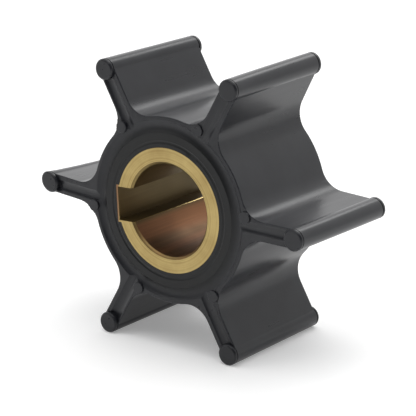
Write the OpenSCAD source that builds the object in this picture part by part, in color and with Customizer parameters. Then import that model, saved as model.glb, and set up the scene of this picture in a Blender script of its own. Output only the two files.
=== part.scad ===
// Flexible pump impeller: one rubber moulding with six bead-tipped blades,
// bonded on a keyed brass bush. The shaft axis lies along Y, the face with
// the moulding pips looks to -Y, and the part stands on its two lower tips.

/* [Whole part] */
// Diameter of the circle through the bead centres
tip_circle_d = 42.4; // [30:0.1:70]
// Width over the ends of the beads
overall_w = 20.1; // [10:0.1:40]

/* [Rubber hub] */
// Diameter of the rubber hub between the blades
hub_d = 26.4; // [22:0.1:36]
// Radius of the fillet from blade to hub
root_fillet_r = 3.6; // [1:0.1:6]

/* [Blades] */
// Thickness of a blade
blade_t = 2.7; // [1.5:0.1:5]
// Amount by which a bead is thicker than its blade
bead_extra = 0.3; // [0.1:0.05:2]
// Length of the plain end of a bead, from the parting line to the chamfer
bead_end_h = 0.24; // [0.1:0.02:2]
// Chamfer on the ends of a bead
bead_chamfer = 0.2; // [0.05:0.05:0.5]
// Width of the parting line round a bead
parting_w = 0.16; // [0.05:0.01:0.4]
// Depth of the parting line round a bead
parting_depth = 0.08; // [0.05:0.01:0.4]

/* [Channels in the end faces] */
// Distance from the rim of the hub in to the middle of the ring channel
ring_channel_inset = 1.4; // [0.8:0.05:3]
// Width of the ring channel
ring_channel_w = 1.8; // [0.5:0.05:2.2]
// Depth of the ring channel
ring_channel_depth = 0.34; // [0.1:0.02:0.9]
// Width of the channel down each blade
blade_channel_w = 1.75; // [0.5:0.05:2.4]
// Depth of the channel down each blade
blade_channel_depth = 0.26; // [0.1:0.02:0.9]
// Shift of the channel towards the side of the blade with the pip
blade_channel_shift = 0.2; // [0:0.05:0.5]

/* [Moulding pips] */
// Diameter of the raised pip beside each blade
pip_d = 1.7; // [0.8:0.1:2.4]
// Height of a pip above the end face
pip_h = 0.24; // [0.1:0.02:0.9]
// Distance of a pip from the middle line of its blade
pip_offset = 1.5; // [1:0.05:3]
// Distance from the rim of the hub in to the middle of a pip, along its blade
pip_inset = 0.05; // [-2:0.05:2]

/* [Brass bush] */
// Outside diameter of the bush
bush_d = 17.7; // [15:0.1:24]
// Diameter of the shaft bore
bore_d = 13.1; // [8:0.1:16]
// Chamfer at both ends of the bore
bore_chamfer = 0.36; // [0.1:0.02:1]
// Width of the keyway
key_w = 4.8; // [2:0.1:8]
// Distance from the axis to the flat floor of the keyway
key_floor = 8.7; // [8.2:0.05:10]
// Thickness of the rib of brass that closes the keyway outside
key_wall = 0.3; // [0.2:0.05:1]
// Angle of the keyway from the middle line of the blade beside it
key_angle = 3; // [-30:1:30]
// Distance from the bush to the middle of the fine groove in the rubber round it
seal_gap = 0.75; // [0.4:0.05:1]
// Width of the fine groove in the rubber round the bush
seal_w = 0.5; // [0.2:0.05:0.8]
// Depth of the fine groove in the rubber round the bush
seal_depth = 0.08; // [0.04:0.01:0.3]

/* [Hidden] */
BLADES = 6;
eps = 0.01;
tip_r = tip_circle_d / 2;
hub_r = hub_d / 2;
bush_r = bush_d / 2;
bead_r = (blade_t + bead_extra) / 2;
ring_r = hub_r - ring_channel_inset;
face_setback = parting_w + bead_end_h + bead_chamfer;
body_w = overall_w - 2 * face_setback;
fillet_y = blade_t / 2 + root_fillet_r;
fillet_x = sqrt(pow(hub_r + root_fillet_r, 2) - pow(fillet_y, 2));

// Lays the shaft axis along Y, with the face that has the pips to -Y.
module stand() {
  rotate([90, 0, 0]) children();
}

// Repeats a feature at each blade, the first one pointing to +X.
module each_blade() {
  for (i = [0 : BLADES - 1])
    rotate([0, 0, i * 360 / BLADES]) children();
}

// Does the same thing at both end faces.
module both_faces() {
  for (side = [0, 1])
    mirror([0, 0, side]) translate([0, 0, body_w / 2]) children();
}

// The corner between hub and one side of a blade, filled up to a tangent arc.
module root_corner() {
  difference() {
    polygon([[0, 0], [fillet_x, 0], [fillet_x, fillet_y]]);
    translate([fillet_x, fillet_y]) circle(r = root_fillet_r, $fn = 72);
  }
}

// Outline of hub and blades, square to the axis, without the beads.
module star() {
  circle(r = hub_r, $fn = 144);
  each_blade() {
    translate([0, -blade_t / 2]) square([tip_r, blade_t]);
    root_corner();
    mirror([0, 1]) root_corner();
  }
}

// A bead: the round tip along the outer edge of a blade. Its ends stand
// proud of the end faces, with the parting line at their foot.
module bead() {
  cylinder(r = bead_r, h = body_w, center = true, $fn = 40);
  both_faces() {
    cylinder(r = bead_r - parting_depth, h = parting_w, $fn = 40);
    translate([0, 0, parting_w]) cylinder(r = bead_r, h = bead_end_h, $fn = 40);
    translate([0, 0, parting_w + bead_end_h])
      cylinder(r1 = bead_r, r2 = bead_r - bead_chamfer, h = bead_chamfer, $fn = 40);
  }
}

// Radius of the arc that cuts a channel of this width and depth.
function arc_r(w, depth) = (w * w / 4 + depth * depth) / (2 * depth);

// A round-bottomed channel that runs round an end face at a radius.
module ring_channel(r, w, depth) {
  rotate_extrude($fn = 96)
    translate([r, arc_r(w, depth) - depth]) circle(r = arc_r(w, depth), $fn = 72);
}

// A round-bottomed channel down each blade, from the ring channel to the bead.
module blade_channels() {
  each_blade()
    translate([ring_r, blade_channel_shift,
      arc_r(blade_channel_w, blade_channel_depth) - blade_channel_depth])
      rotate([0, 90, 0])
        cylinder(r = arc_r(blade_channel_w, blade_channel_depth), h = tip_r - ring_r, $fn = 72);
}

module rubber_impeller() {
  color("#3a3b3d") stand() {
    difference() {
      linear_extrude(height = body_w, center = true) star();
      both_faces() {
        ring_channel(ring_r, ring_channel_w, ring_channel_depth);
        ring_channel(bush_r + seal_gap, seal_w, seal_depth);
        blade_channels();
      }
      bush_outside(body_w + 1);
    }
    each_blade() {
      translate([tip_r, 0, 0]) bead();
      translate([hub_r - pip_inset, pip_offset, body_w / 2 - ring_channel_depth])
        cylinder(d = pip_d, h = ring_channel_depth + pip_h, $fn = 24);
    }
  }
}

// Turns a feature from +X to the side of the bush that the keyway is on.
module at_key() {
  rotate([0, 0, 180 + key_angle]) children();
}

// Outside of the bush: round, with a flat rib behind the keyway.
module bush_outside(h) {
  linear_extrude(height = h, center = true) {
    circle(r = bush_r, $fn = 96);
    at_key() translate([0, -key_w / 2 - key_wall])
      square([key_floor + key_wall, key_w + 2 * key_wall]);
  }
}

module brass_bush() {
  color("#b8975a") stand() difference() {
    bush_outside(body_w);
    cylinder(d = bore_d, h = body_w + 1, center = true, $fn = 96);
    both_faces() translate([0, 0, -bore_chamfer])
      cylinder(r1 = bore_d / 2, r2 = bore_d / 2 + bore_chamfer + eps,
        h = bore_chamfer + eps, $fn = 96);
    at_key() translate([0, -key_w / 2, -body_w]) cube([key_floor, key_w, 2 * body_w]);
  }
}

rubber_impeller();
brass_bush();
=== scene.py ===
import math

import bmesh
import bpy
from mathutils import Euler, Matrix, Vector


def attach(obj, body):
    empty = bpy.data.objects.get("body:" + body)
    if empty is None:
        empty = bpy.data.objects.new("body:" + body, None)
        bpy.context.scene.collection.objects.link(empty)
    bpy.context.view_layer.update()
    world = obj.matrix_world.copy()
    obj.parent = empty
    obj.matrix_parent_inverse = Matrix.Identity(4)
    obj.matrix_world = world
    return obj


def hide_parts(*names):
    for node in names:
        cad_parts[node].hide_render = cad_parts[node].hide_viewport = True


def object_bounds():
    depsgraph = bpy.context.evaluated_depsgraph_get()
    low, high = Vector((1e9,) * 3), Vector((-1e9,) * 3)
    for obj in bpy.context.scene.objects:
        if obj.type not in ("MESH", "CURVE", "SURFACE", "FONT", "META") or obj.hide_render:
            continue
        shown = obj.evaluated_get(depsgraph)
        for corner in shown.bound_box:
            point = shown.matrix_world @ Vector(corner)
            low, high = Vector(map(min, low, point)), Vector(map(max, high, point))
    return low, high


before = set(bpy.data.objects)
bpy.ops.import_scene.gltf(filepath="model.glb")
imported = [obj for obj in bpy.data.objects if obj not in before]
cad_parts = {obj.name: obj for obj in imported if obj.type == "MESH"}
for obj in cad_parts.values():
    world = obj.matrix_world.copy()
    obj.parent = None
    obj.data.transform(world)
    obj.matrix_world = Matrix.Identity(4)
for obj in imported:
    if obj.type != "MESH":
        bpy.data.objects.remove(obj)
cad_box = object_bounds()


# The rubber impeller: hub, six straight blades and their round beads are one
# charcoal neoprene moulding, pressed in a two-part mould and vulcanised on to
# the brass bush, so its edges are soft and its skin is satin and a little mottled.
def loose_copy(node_name, piece_name, cuts=()):
    """A welded copy of a CAD node's mesh, cut across the shaft axis and then into triangles."""
    weld = 2e-6
    sliver = 1e-6
    same_flat = math.radians(0.4)
    bpy.ops.object.select_all(action="DESELECT")
    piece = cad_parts[node_name].copy()
    piece.data = piece.data.copy()
    piece.name = piece_name
    piece.data.name = piece_name
    piece.parent = None
    for key in list(piece.keys()):
        del piece[key]
    piece.data.materials.clear()
    bpy.context.scene.collection.objects.link(piece)
    bpy.context.view_layer.objects.active = piece
    piece.select_set(True)
    # The imported normals would spoil the shading of sharp edges.
    bpy.ops.mesh.customdata_custom_splitnormals_clear()
    bpy.ops.object.mode_set(mode="EDIT")
    bpy.ops.mesh.select_all(action="SELECT")
    bpy.ops.mesh.remove_doubles(threshold=weld)
    bpy.ops.mesh.dissolve_limited(angle_limit=same_flat)
    bpy.ops.mesh.dissolve_degenerate(threshold=sliver)
    for cut in cuts:
        bpy.ops.mesh.select_all(action="SELECT")
        bpy.ops.mesh.bisect(plane_co=(0, cut, 0), plane_no=(0, 1, 0))
    bpy.ops.mesh.select_all(action="SELECT")
    bpy.ops.mesh.quads_convert_to_tris(ngon_method="BEAUTY")
    bpy.ops.object.mode_set(mode="OBJECT")
    return piece


def soften_edges(piece, width, slot, chosen):
    """Rounds the chosen edges of a piece, and gives the round a material slot."""
    shape = bmesh.new()
    shape.from_mesh(piece.data)
    picked = [float(len(edge.link_faces) == 2 and chosen(edge)) for edge in shape.edges]
    shape.free()
    weights = piece.data.attributes.new("bevel_weight_edge", "FLOAT", "EDGE")
    weights.data.foreach_set("value", picked)
    bevel = piece.modifiers.new("softened_edges", "BEVEL")
    bevel.width = width
    bevel.segments = 4
    bevel.limit_method = "WEIGHT"
    bevel.miter_outer = "MITER_ARC"
    bevel.material = slot
    bevel.use_clamp_overlap = False
    bevel.loop_slide = False
    bpy.ops.object.modifier_apply(modifier=bevel.name)
    piece.data.attributes.remove(piece.data.attributes["bevel_weight_edge"])


def shade(piece):
    """Shades curves smooth, creases of more than 25 degrees sharp, and flats flat."""
    bpy.ops.object.shade_smooth_by_angle(angle=math.radians(25))
    weighted = piece.modifiers.new("flat_faces_first", "WEIGHTED_NORMAL")
    weighted.keep_sharp = True
    bpy.ops.object.modifier_apply(modifier=weighted.name)


def linear(code):
    """An sRGB hex colour as linear red, green, blue and alpha."""
    parts = [int(code[i:i + 2], 16) / 255 for i in (1, 3, 5)]
    return [c / 12.92 if c <= 0.04045 else ((c + 0.055) / 1.055) ** 2.4 for c in parts] + [1]


def add_node(tree, kind, settings=None, **inputs):
    """Adds a shader node; an input takes a number, a colour or another node's socket.

    An input goes by its name, or by its number after an underscore.
    """
    made = tree.nodes.new("ShaderNode" + kind)
    for name, value in (settings or {}).items():
        setattr(made, name, value)
    for name, value in inputs.items():
        key = int(name[1:]) if name[1:].isdigit() else name.replace("_", " ")
        if isinstance(value, bpy.types.NodeSocket):
            tree.links.new(value, made.inputs[key])
        else:
            made.inputs[key].default_value = value
    return made


rgba = {"data_type": "RGBA"}


def moulded_neoprene(name, light, dark, roughness):
    """Black neoprene with carbon filler: a satin skin that copies the mould, with a faint bloom."""
    material = bpy.data.materials.new(name)
    material.use_nodes = True
    tree = material.node_tree
    shader = tree.nodes["Principled BSDF"]
    place = add_node(tree, "TexCoord").outputs["Object"]
    # Bloom: cloudy patches some 6 mm across.
    bloom = add_node(tree, "TexNoise", Vector=place, Scale=160.0, Detail=3.0, Roughness=0.55)
    # Flow and draft marks run along the shaft axis, about 0.7 mm apart and 12 mm long.
    along = add_node(tree, "Mapping", Vector=place, Scale=(1400.0, 80.0, 1400.0))
    streak = add_node(tree, "TexNoise", Vector=along.outputs[0], Scale=1.0, Detail=2.0,
                      Roughness=0.5)
    # Grain of the mould's wall, drawn at 0.4 mm, coarser than the real 0.1 mm, so that it shows.
    grain = add_node(tree, "TexNoise", Vector=place, Scale=2500.0, Detail=4.0, Roughness=0.6)
    cloud = add_node(tree, "MapRange", Value=bloom.outputs["Fac"], From_Min=0.35, From_Max=0.68)
    colour = add_node(tree, "Mix", rgba, _0=cloud.outputs[0], _6=linear(dark), _7=linear(light))
    # The band round the bush, inside 11.5 mm from the axis, is painted darker. This is painted
    # shade, standing in for the darker reflection of the shaded floor close under the part.
    flat = add_node(tree, "VectorMath", {"operation": "MULTIPLY"}, _0=place, _1=(1.0, 0.0, 1.0))
    length = add_node(tree, "VectorMath", {"operation": "LENGTH"}, _0=flat.outputs[0])
    radius = length.outputs["Value"]
    shaded_band = add_node(tree, "MapRange", Value=radius, From_Min=0.0108, From_Max=0.0122)
    colour = add_node(tree, "Mix", rgba, _0=shaded_band.outputs[0], _6=linear("#08090a"),
                      _7=colour.outputs[2])
    tree.links.new(colour.outputs[2], shader.inputs["Base Color"])
    tone = add_node(tree, "Math", {"operation": "ADD"}, _0=bloom.outputs["Fac"],
                    _1=streak.outputs["Fac"])
    rough = add_node(tree, "MapRange", Value=tone.outputs[0], From_Min=0.6, From_Max=1.4,
                     To_Min=roughness - 0.04, To_Max=roughness + 0.04)
    # The end faces of the hub, up to its rim at 13.2 mm, came off a rougher part of the mould.
    matt = add_node(tree, "MapRange", Value=radius, From_Min=0.0122, From_Max=0.0132,
                    To_Min=0.16, To_Max=0.0)
    rough = add_node(tree, "Math", {"operation": "ADD"}, _0=rough.outputs[0], _1=matt.outputs[0])
    tree.links.new(rough.outputs[0], shader.inputs["Roughness"])
    ripple = add_node(tree, "Bump", Height=streak.outputs["Fac"], Strength=0.03, Distance=0.00004)
    skin = add_node(tree, "Bump", Height=grain.outputs["Fac"], Strength=0.12, Distance=0.00003,
                    Normal=ripple.outputs[0])
    tree.links.new(skin.outputs[0], shader.inputs["Normal"])
    shader.inputs["IOR"].default_value = 1.52
    shader.inputs["Specular IOR Level"].default_value = 0.34
    return material


# Radii of the hub, of the circle through the middles of the beads, and of a bead.
hub_radius = 0.0132
bead_circle = 0.0212
bead_radius = 0.0015


def lean_blade(piece, angle, front_lean, back_lean):
    """Leans a limp blade, more and more outwards, by an amount for its front end and its back."""
    half_strip = 0.003
    curl_outwards = 1.6
    curl_backwards = 0.7
    turn = math.radians(angle)
    outwards = Vector((math.cos(turn), 0, math.sin(turn)))
    sideways = Vector((-math.sin(turn), 0, math.cos(turn)))
    front, back = cad_box[0].y, cad_box[1].y
    for corner in piece.data.vertices:
        reach = corner.co.dot(outwards) - hub_radius
        if reach > 0 and abs(corner.co.dot(sideways)) < half_strip:
            share = min(max((corner.co.y - front) / (back - front), 0), 1) ** curl_backwards
            lean = front_lean + (back_lean - front_lean) * share
            corner.co += sideways * lean * (reach / (bead_circle - hub_radius)) ** curl_outwards


# Cuts across the long walls let a blade twist evenly, and keep the shading at its ends local.
rubber = loose_copy("rubber_impeller", "neoprene_impeller", (-0.0075, -0.0035, 0.0035, 0.0075))
satin = moulded_neoprene("moulded_neoprene_satin", "#28292d", "#1f2024", 0.3)
smooth_edge = moulded_neoprene("moulded_neoprene_edge", "#2b2c30", "#242529", 0.28)
rubber.data.materials.append(satin)
rubber.data.materials.append(smooth_edge)
edge_slot = 1

# Middles of the beads and of the moulding pips, seen along the shaft axis. A pip sits out
# along its blade, and to one side of the blade's middle line.
pip_out, pip_aside = 0.01315, 0.0015
turns = [math.radians(60 * step) for step in range(6)]
tips = [Vector((bead_circle * math.cos(turn), 0, bead_circle * math.sin(turn))) for turn in turns]
pips = [Vector((pip_out * math.cos(turn) - pip_aside * math.sin(turn), 0,
                pip_out * math.sin(turn) + pip_aside * math.cos(turn))) for turn in turns]

# Depths inside the plane of the bead ends: the end faces lie 0.6 mm in, the parting line of a
# bead from there to 0.44 mm, and the pips and the bead's own end are higher.
face_depth = (0.00055, 0.00065)
proud_depth = 0.0005
line_depth = 0.0004
# How far the foot of a pip reaches from its middle, how far out the brass does from the axis,
# and the slack in a comparison with a radius or a depth.
pip_foot = 0.00125
brass_rim = 0.0095
slack = 0.00002


def depth_of(corner):
    """How far a corner lies inside the plane of the bead ends, at either end of the part."""
    return cad_box[1].y - abs(corner.co.y)


def near(corner, middles, reach):
    """Whether a corner lies within reach of one of the middles, seen along the axis."""
    return any((Vector((corner.co.x, 0, corner.co.z)) - middle).length < reach
               for middle in middles)


def on_bead(corner):
    """Whether a corner belongs to a bead."""
    return near(corner, tips, bead_radius + slack)


def end_outline(edge):
    """The outline of an end face, clear of the pips and of the parting line round each bead."""
    flat, side = sorted(edge.link_faces, key=lambda face: -abs(face.normal.y))
    start = edge.verts[0]
    in_rubber = start.co.xz.length > brass_rim
    by_pip = start.co.y < 0 and any(near(corner, pips, pip_foot) for corner in edge.verts)
    square = abs(flat.normal.y) > 0.999 and abs(side.normal.y) < 0.02
    return edge.is_convex and square and in_rubber and not by_pip \
        and face_depth[0] < depth_of(start) < face_depth[1] \
        and not all(on_bead(corner) for corner in edge.verts)


def proud_edge(edge):
    """The sharp edges of what stands proud of the end faces: the pips and the ends of the beads."""
    at_line = all(on_bead(corner) and depth_of(corner) > line_depth - slack
                  for corner in edge.verts)
    return depth_of(edge.verts[0]) < proud_depth and not at_line \
        and edge.calc_face_angle() > math.radians(40)


# At the back the three upper beads end 0.2 mm longer, behind a torn parting line that is
# 0.3 mm deep and a little wider than the others.
line_bottom = (0.0014, 0.00145)
torn_deeper, torn_wider, end_longer = 0.00022, 0.00004, 0.0002
for corner in rubber.data.vertices:
    depth = cad_box[1].y - corner.co.y
    for tip in tips[:3]:
        outwards = Vector((corner.co.x, 0, corner.co.z)) - tip
        if line_depth < depth < face_depth[1] \
                and line_bottom[0] < outwards.length < line_bottom[1]:
            corner.co -= outwards.normalized() * torn_deeper
        if outwards.length < bead_radius + slack and depth < proud_depth:
            corner.co.y += torn_wider if depth > line_depth else end_longer

soften_edges(rubber, 0.00013, edge_slot, end_outline)
soften_edges(rubber, 0.00005, edge_slot, proud_edge)
shade(rubber)
# Three blades aren't quite true: the left one, the upper right one and the right one.
lean_blade(rubber, 180, front_lean=-0.00063, back_lean=0.0006)
lean_blade(rubber, 60, front_lean=0, back_lean=0.0004)
lean_blade(rubber, 0, front_lean=0, back_lean=-0.0003)
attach(rubber, "root")
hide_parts("rubber_impeller")


# The brass bush: turned from bar, faced flush with the rubber, bored and
# chamfered for the pump shaft, with one broached keyway nearly through its
# wall. Its faces keep fine turning rings, and its bore has tarnished.
def turned_brass(name):
    """Free-cutting brass, satin from the lathe tool, with olive and copper tarnish in the bore."""
    material = bpy.data.materials.new(name)
    material.use_nodes = True
    tree = material.node_tree
    shader = tree.nodes["Principled BSDF"]
    place = add_node(tree, "TexCoord").outputs["Object"]
    split = add_node(tree, "SeparateXYZ", Vector=place)
    flat = add_node(tree, "CombineXYZ", X=split.outputs["X"], Z=split.outputs["Z"])
    radius = add_node(tree, "VectorMath", {"operation": "LENGTH"}, _0=flat.outputs[0])
    # Turning rings 0.25 mm apart, coarser than the real feed of 0.05 mm, so that they show.
    feed = add_node(tree, "CombineXYZ", X=radius.outputs["Value"])
    rings = add_node(tree, "TexNoise", Vector=feed.outputs[0], Scale=4000.0, Detail=2.0,
                     Roughness=0.6)
    # Broach and reamer marks lie along the bore, 0.45 mm apart, coarser than the real ones.
    along = add_node(tree, "Mapping", Vector=place, Scale=(2200.0, 60.0, 2200.0))
    drawn = add_node(tree, "TexNoise", Vector=along.outputs[0], Scale=1.0, Detail=3.0,
                     Roughness=0.6)
    # Cloudy patches some 4 mm across, from handling.
    cloud = add_node(tree, "TexNoise", Vector=place, Scale=260.0, Detail=4.0, Roughness=0.55)
    # The end faces are bright, and the mask fades over the chamfers.
    normal = add_node(tree, "NewGeometry").outputs["True Normal"]
    facing = add_node(tree, "SeparateXYZ", Vector=normal)
    flatness = add_node(tree, "Math", {"operation": "ABSOLUTE"}, _0=facing.outputs["Y"])
    face = add_node(tree, "MapRange", Value=flatness.outputs[0], From_Min=0.6, From_Max=0.85)
    tone = add_node(tree, "Math", {"operation": "ADD"}, _0=cloud.outputs["Fac"],
                    _1=rings.outputs["Fac"])
    worn = add_node(tree, "MapRange", Value=tone.outputs[0], From_Min=0.65, From_Max=1.35)
    bright = add_node(tree, "Mix", rgba, _0=worn.outputs[0], _6=linear("#8f794c"),
                      _7=linear("#c3ae76"))
    # The thin rib behind the keyway, past 8.6 mm from the axis, has browned like the bore.
    rib = add_node(tree, "MapRange", Value=split.outputs["X"], From_Min=-0.00875,
                   From_Max=-0.0086)
    bright = add_node(tree, "Mix", rgba, _0=rib.outputs[0], _6=linear("#86684e"),
                      _7=bright.outputs[2])
    # Wide bands of stain run along the bore, some 2.5 mm across. The lighter rose-coloured ones are
    # also painted highlight streaks.
    wide = add_node(tree, "Mapping", Vector=place, Scale=(400.0, 25.0, 400.0))
    band = add_node(tree, "TexNoise", Vector=wide.outputs[0], Scale=1.0, Detail=1.0,
                    Roughness=0.4)
    banded = add_node(tree, "MapRange", Value=band.outputs["Fac"], From_Min=0.38, From_Max=0.62)
    brown = add_node(tree, "Mix", rgba, _0=drawn.outputs["Fac"], _6=linear("#4f3720"),
                     _7=linear("#725231"))
    pink_stain_and_highlight = add_node(tree, "Mix", rgba, _0=drawn.outputs["Fac"], _6=linear("#6c472c"),
                    _7=linear("#976845"))
    copper = add_node(tree, "Mix", rgba, _0=banded.outputs[0], _6=brown.outputs[2],
                      _7=pink_stain_and_highlight.outputs[2])
    # The olive tarnish deepens towards the back of the bush.
    olive = add_node(tree, "Mix", rgba, _0=drawn.outputs["Fac"], _6=linear("#584826"),
                     _7=linear("#705f36"))
    inwards = add_node(tree, "MapRange", Value=split.outputs["Y"], From_Min=-0.006,
                       From_Max=0.009)
    olive = add_node(tree, "Mix", rgba, _0=inwards.outputs[0], _6=olive.outputs[2],
                     _7=linear("#473919"))
    # The keyway and the bore above its lower edge are olive, and the bore below it is copper
    # red. The keyway is turned by 3 degrees, and so is the line between them.
    height = add_node(tree, "Math", {"operation": "MULTIPLY_ADD"}, _0=split.outputs["X"],
                      _1=-0.052, _2=split.outputs["Z"])
    low_edge = {"From_Min": -0.0031, "From_Max": -0.0023}
    above = add_node(tree, "MapRange", Value=height.outputs[0], **low_edge)
    stain = add_node(tree, "Mix", rgba, _0=above.outputs[0], _6=copper.outputs[2],
                     _7=olive.outputs[2])
    colour = add_node(tree, "Mix", rgba, _0=face.outputs[0], _6=stain.outputs[2],
                      _7=bright.outputs[2])
    tree.links.new(colour.outputs[2], shader.inputs["Base Color"])
    rough = add_node(tree, "MapRange", Value=cloud.outputs["Fac"], From_Min=0.3, From_Max=0.7,
                     To_Min=0.36, To_Max=0.46)
    tree.links.new(rough.outputs[0], shader.inputs["Roughness"])
    mark = add_node(tree, "Mix", _0=face.outputs[0], _2=drawn.outputs["Fac"],
                    _3=rings.outputs["Fac"])
    relief = add_node(tree, "Bump", Height=mark.outputs[0], Strength=0.3, Distance=0.00002)
    tree.links.new(relief.outputs[0], shader.inputs["Normal"])
    # An oxide skin hides a third of the metal where it is olive, and a fifth of it below.
    skin = add_node(tree, "MapRange", Value=height.outputs[0], To_Min=0.8, To_Max=0.65,
                    **low_edge)
    bare = add_node(tree, "Mix", _0=face.outputs[0], _2=skin.outputs[0], _3=1.0)
    tree.links.new(bare.outputs[0], shader.inputs["Metallic"])
    return material


def highlight_brass(name):
    """The same brass, lighter and bare, for the lower edge of the keyway: a painted highlight along
    that edge.
    """
    material = bpy.data.materials.new(name)
    material.use_nodes = True
    tree = material.node_tree
    shader = tree.nodes["Principled BSDF"]
    place = add_node(tree, "TexCoord").outputs["Object"]
    # Small nicks about 0.5 mm apart.
    nick = add_node(tree, "TexNoise", Vector=place, Scale=2000.0, Detail=3.0, Roughness=0.6)
    colour = add_node(tree, "Mix", rgba, _0=nick.outputs["Fac"], _6=linear("#b39b62"),
                      _7=linear("#dcc58c"))
    tree.links.new(colour.outputs[2], shader.inputs["Base Color"])
    relief = add_node(tree, "Bump", Height=nick.outputs["Fac"], Strength=0.3, Distance=0.00002)
    tree.links.new(relief.outputs[0], shader.inputs["Normal"])
    shader.inputs["Metallic"].default_value = 1.0
    shader.inputs["Roughness"].default_value = 0.3
    return material


bush = loose_copy("brass_bush", "keyed_brass_bush")
bush.data.materials.append(turned_brass("turned_brass"))
# The second material is lighter brass, a painted highlight for the keyway's lower edge.
bush.data.materials.append(highlight_brass("brass_edge_painted_highlight"))
turned_slot, highlight_slot = 0, 1


def outer_corner(edge):
    """An edge that stands out, of more than 30 degrees."""
    return edge.is_convex and edge.calc_face_angle() > math.radians(30)


def lower_key_edge(edge):
    """The long lower edge of the keyway, which gets the painted highlight."""
    start, end = edge.verts[0].co, edge.verts[1].co
    runs_along = abs(start.y - end.y) > 0.01
    at_key = start.z < -0.001 and start.x > -0.007
    return outer_corner(edge) and runs_along and at_key


# The lower keyway edge is rounded and given the lighter brass as a painted highlight.
soften_edges(bush, 0.00011, highlight_slot, lower_key_edge)
soften_edges(bush, 0.00004, turned_slot, outer_corner)
shade(bush)
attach(bush, "root")
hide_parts("brass_bush")


# The studio: a sheet of white paper under the part, a surround that is brighter
# behind it, and three soft boxes, above, at the front left and behind. None of
# it belongs to the part.
paper_size = 6
bpy.ops.object.select_all(action="DESELECT")
bpy.ops.mesh.primitive_plane_add(size=paper_size, location=(0, 0, cad_box[0].z))
paper = bpy.context.object
paper.name = "white_paper_floor"
sheet = bpy.data.materials.new("matt_white_paper")
sheet.use_nodes = True
tree = sheet.node_tree
shader = tree.nodes["Principled BSDF"]
shader.inputs["Base Color"].default_value = linear("#f0f0f0")
shader.inputs["Roughness"].default_value = 0.9
# A little glow for the camera and in reflections makes the paper white, and keeps the shadow.
rays = add_node(tree, "LightPath")
seen = add_node(tree, "Math", {"operation": "MAXIMUM"}, _0=rays.outputs["Is Camera Ray"],
                _1=rays.outputs["Is Glossy Ray"])
seen = add_node(tree, "Math", {"operation": "MAXIMUM"}, _0=seen.outputs[0],
                _1=rays.outputs["Is Transmission Ray"])
lift = add_node(tree, "Math", {"operation": "MULTIPLY"}, _0=seen.outputs[0], _1=0.25)
shader.inputs["Emission Color"].default_value = (1, 1, 1, 1)
tree.links.new(lift.outputs[0], shader.inputs["Emission Strength"])
paper.data.materials.append(sheet)

# The surround is bright behind the part and to its left, and the room in front is dimmer.
behind_left = (-0.4, 0.9, 0.0)
world = bpy.data.worlds.new("studio_surround")
bpy.context.scene.world = world
world.use_nodes = True
surround = world.node_tree
background = surround.nodes["Background"]
direction = add_node(surround, "TexCoord").outputs["Generated"]
depth = add_node(surround, "VectorMath", {"operation": "DOT_PRODUCT"}, _0=direction,
                 _1=behind_left)
glow = add_node(surround, "MapRange", Value=depth.outputs["Value"], From_Min=-0.4, From_Max=0.8,
                To_Min=0.1, To_Max=1.4)
surround.links.new(glow.outputs[0], background.inputs["Strength"])
background.inputs["Color"].default_value = (1, 1, 1, 1)


def soft_box(name, place, size, watts):
    """A square soft box at a place, turned to face the part."""
    lamp = bpy.data.lights.new(name, "AREA")
    lamp.shape = "SQUARE"
    lamp.size = size
    lamp.energy = watts
    holder = bpy.data.objects.new(name, lamp)
    holder.location = place
    holder.rotation_euler = (-Vector(place)).to_track_quat("-Z", "Y").to_euler()
    bpy.context.scene.collection.objects.link(holder)


soft_box("top_soft_box", (0.05, -0.04, 0.45), size=0.5, watts=1.5)
soft_box("left_soft_box", (-0.223, -0.237, 0.196), size=0.14, watts=0.12)
soft_box("back_soft_box", (-0.02, 0.304, 0.26), size=0.1, watts=0.12)

# The camera stands where the photograph's stood: its place and lens were solved from the
# blade tips, the outline and the brass ring.
camera_turn = (73.25787, 0.09278, 37.59408)
camera_data = bpy.data.cameras.new("catalogue_camera")
camera_data.sensor_width = 36
camera_data.lens = 164.375
camera_data.clip_start = 0.01
camera = bpy.data.objects.new("catalogue_camera", camera_data)
camera.location = (0.15566785, -0.20235507, 0.07497426)
camera.rotation_euler = Euler([math.radians(angle) for angle in camera_turn])
bpy.context.scene.collection.objects.link(camera)
bpy.context.scene.camera = camera
bpy.context.scene.view_settings.view_transform = "Standard"
